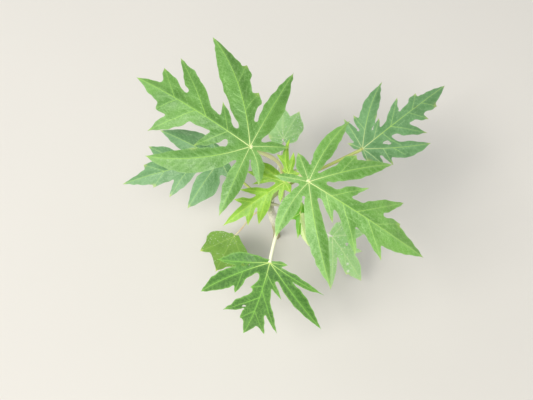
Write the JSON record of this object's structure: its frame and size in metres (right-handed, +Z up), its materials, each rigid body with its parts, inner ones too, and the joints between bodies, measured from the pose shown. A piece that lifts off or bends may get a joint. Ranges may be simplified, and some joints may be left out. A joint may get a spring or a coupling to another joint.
{
  "type": "young papaya plant",
  "caption": "Young papaya plant with one slender upright trunk and long-stalked leaves, each a palm of deeply cut, pointed lobes spreading from its junction.",
  "frame": {"origin": "middle of the flat cut under the trunk, at ground level", "axes": "+Z up, +X to the right and +Y away from the viewer in the picture, which looks down from about 70 degrees above the ground"},
  "size_m": [0.4028, 0.3204, 0.3133],
  "materials": {
    "trunk": "matt green-beige young bark with raised leaf scars",
    "petiole": "satin pale cream-green, darker at the base",
    "leaf_mid": "satin mid green leaf, paler below",
    "leaf_grey": "satin grey-green leaf, paler below",
    "leaf_deep": "satin deep green leaf, paler below",
    "leaf_new": "satin bright yellow-green young leaf",
    "leaf_pale": "satin pale green leaf with whitish speckles",
    "leaf_old": "matt yellow-green old leaf with pale speckles",
    "vein": "satin pale yellow-green raised vein"
  },
  "bodies": {
    "root": {"trunk": "trunk", "petiole_01": "petiole", "petiole_02": "petiole", "petiole_03": "petiole", "petiole_04": "petiole", "petiole_05": "petiole", "petiole_06": "petiole", "petiole_07": "petiole", "petiole_08": "petiole", "petiole_09": "petiole", "petiole_10": "petiole", "petiole_11": "petiole", "blade_01": "leaf_old", "blade_02": "leaf_pale", "blade_03": "leaf_pale", "blade_04": "leaf_grey", "blade_05": "leaf_grey", "blade_06": "leaf_deep", "blade_07": "leaf_mid", "blade_08": "leaf_mid", "blade_09": "leaf_new", "blade_10": "leaf_deep", "blade_11": "leaf_new"}
  },
  "joints": []
}
